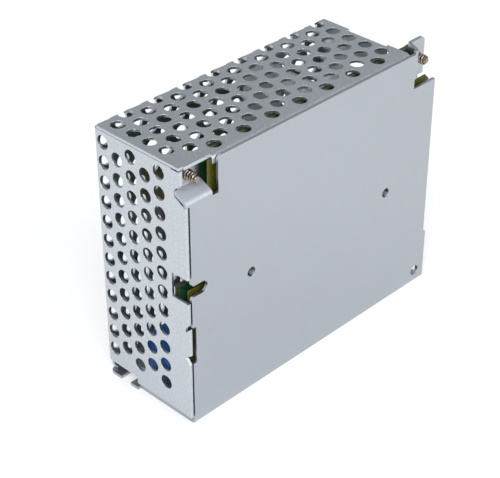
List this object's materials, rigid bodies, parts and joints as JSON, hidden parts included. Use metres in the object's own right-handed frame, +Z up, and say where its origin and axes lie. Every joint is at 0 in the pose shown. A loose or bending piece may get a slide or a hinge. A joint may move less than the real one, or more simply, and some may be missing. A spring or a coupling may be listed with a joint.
{
  "type": "enclosed switching power supply",
  "caption": "Compact enclosed power supply with a folded metal chassis, a hex-perforated cover, a populated circuit board and a screw terminal block at its open end.",
  "frame": {"origin": "centre of the bounding box's foot, on the bottom wall's outer face", "axes": "+X from the closed end to the terminal end, +Y from the base plate to the far wall, +Z up from the bottom wall"},
  "size_m": [0.1, 0.035, 0.0828],
  "materials": {
    "chassis_sheet": "zinc-plated sheet, satin",
    "cover_sheet": "zinc-plated sheet, satin",
    "film": "translucent yellow film",
    "board_laminate": "green solder mask",
    "yellow_screws": "yellow zinc plating",
    "zinc_screws": "bright zinc plating",
    "zinc_clamps": "bright zinc plating",
    "tinned_brass": "tin plating",
    "black_moulding": "fine matte moulding",
    "blue_moulding": "moulded",
    "white_moulding": "moulded",
    "yellow_moulding": "moulded box",
    "brown_moulding": "moulded",
    "lamp_lens": "clear tinted resin",
    "blue_sleeve": "shrunk sleeve",
    "black_sleeve": "shrunk sleeve",
    "blue_coating": "dipped resin",
    "dark_coating": "dipped resin",
    "ferrite": "sintered, matte",
    "copper_wire": "enamelled wire",
    "winding_tape": "wound tape",
    "heatsink_plate": "milled",
    "resistor_coating": "lacquer"
  },
  "bodies": {
    "case": {"chassis": "chassis_sheet", "cover": "cover_sheet", "insulating_film": "film", "circuit_board": "board_laminate", "board_screws": "yellow_screws", "cover_screws": "zinc_screws", "terminal_block": "black_moulding", "contact_plates": "tinned_brass", "trimmer_body": "blue_moulding", "indicator_lamp": "lamp_lens", "bulk_capacitor_1": "blue_sleeve", "bulk_capacitor_2": "blue_sleeve", "bridge_rectifier": "black_moulding", "interference_capacitor": "yellow_moulding", "mains_fuse": "brown_moulding", "varistor": "blue_coating", "inrush_thermistor": "dark_coating", "choke_ring": "ferrite", "choke_windings": "copper_wire", "transformer_core": "ferrite", "transformer_bobbin": "black_moulding", "transformer_winding": "winding_tape", "transistor_heatsink": "heatsink_plate", "switching_transistor": "black_moulding", "transistor_screw": "zinc_screws", "rectifier_heatsink": "heatsink_plate", "output_rectifier": "black_moulding", "rectifier_screw": "zinc_screws", "output_capacitors": "black_sleeve", "output_inductor": "ferrite", "safety_capacitors": "blue_coating", "optocoupler": "white_moulding", "control_chip": "black_moulding", "resistors": "resistor_coating"},
    "clamp_1": {"terminal_clamp_1": "zinc_clamps"},
    "screw_1": {"terminal_screw_1": "zinc_screws"},
    "clamp_2": {"terminal_clamp_2": "zinc_clamps"},
    "screw_2": {"terminal_screw_2": "zinc_screws"},
    "clamp_3": {"terminal_clamp_3": "zinc_clamps"},
    "screw_3": {"terminal_screw_3": "zinc_screws"},
    "clamp_4": {"terminal_clamp_4": "zinc_clamps"},
    "screw_4": {"terminal_screw_4": "zinc_screws"},
    "clamp_5": {"terminal_clamp_5": "zinc_clamps"},
    "screw_5": {"terminal_screw_5": "zinc_screws"},
    "rotor": {"trimmer_rotor": "white_moulding"}
  },
  "joints": [
    {"name": "clamp_1_lift", "type": "slide", "parent": "case", "child": "clamp_1", "axis": [0, 1, 0], "range_m": [0, 0.0022]},
    {"name": "screw_1_turn", "type": "hinge", "parent": "clamp_1", "child": "screw_1", "pos_m": [0.043, -0.0022, 0.01955], "axis": [0, 1, 0], "range_deg": [0, 1320]},
    {"name": "clamp_2_lift", "type": "slide", "parent": "case", "child": "clamp_2", "axis": [0, 1, 0], "range_m": [0, 0.0022]},
    {"name": "screw_2_turn", "type": "hinge", "parent": "clamp_2", "child": "screw_2", "pos_m": [0.043, -0.0022, 0.02905], "axis": [0, 1, 0], "range_deg": [0, 1320]},
    {"name": "clamp_3_lift", "type": "slide", "parent": "case", "child": "clamp_3", "axis": [0, 1, 0], "range_m": [0, 0.0022]},
    {"name": "screw_3_turn", "type": "hinge", "parent": "clamp_3", "child": "screw_3", "pos_m": [0.043, -0.0022, 0.03855], "axis": [0, 1, 0], "range_deg": [0, 1320]},
    {"name": "clamp_4_lift", "type": "slide", "parent": "case", "child": "clamp_4", "axis": [0, 1, 0], "range_m": [0, 0.0022]},
    {"name": "screw_4_turn", "type": "hinge", "parent": "clamp_4", "child": "screw_4", "pos_m": [0.043, -0.0022, 0.04805], "axis": [0, 1, 0], "range_deg": [0, 1320]},
    {"name": "clamp_5_lift", "type": "slide", "parent": "case", "child": "clamp_5", "axis": [0, 1, 0], "range_m": [0, 0.0022]},
    {"name": "screw_5_turn", "type": "hinge", "parent": "clamp_5", "child": "screw_5", "pos_m": [0.043, -0.0022, 0.05755], "axis": [0, 1, 0], "range_deg": [0, 1320]},
    {"name": "trimmer_turn", "type": "hinge", "parent": "case", "child": "rotor", "pos_m": [0.0397, -0.0052, 0.06695], "axis": [0, 1, 0], "range_deg": [-135, 135]}
  ],
  "couplings": [
    {"joint": "screw_1_turn", "follows": "clamp_1_lift", "rad_per_m": 10472},
    {"joint": "screw_2_turn", "follows": "clamp_2_lift", "rad_per_m": 10472},
    {"joint": "screw_3_turn", "follows": "clamp_3_lift", "rad_per_m": 10472},
    {"joint": "screw_4_turn", "follows": "clamp_4_lift", "rad_per_m": 10472},
    {"joint": "screw_5_turn", "follows": "clamp_5_lift", "rad_per_m": 10472}
  ]
}
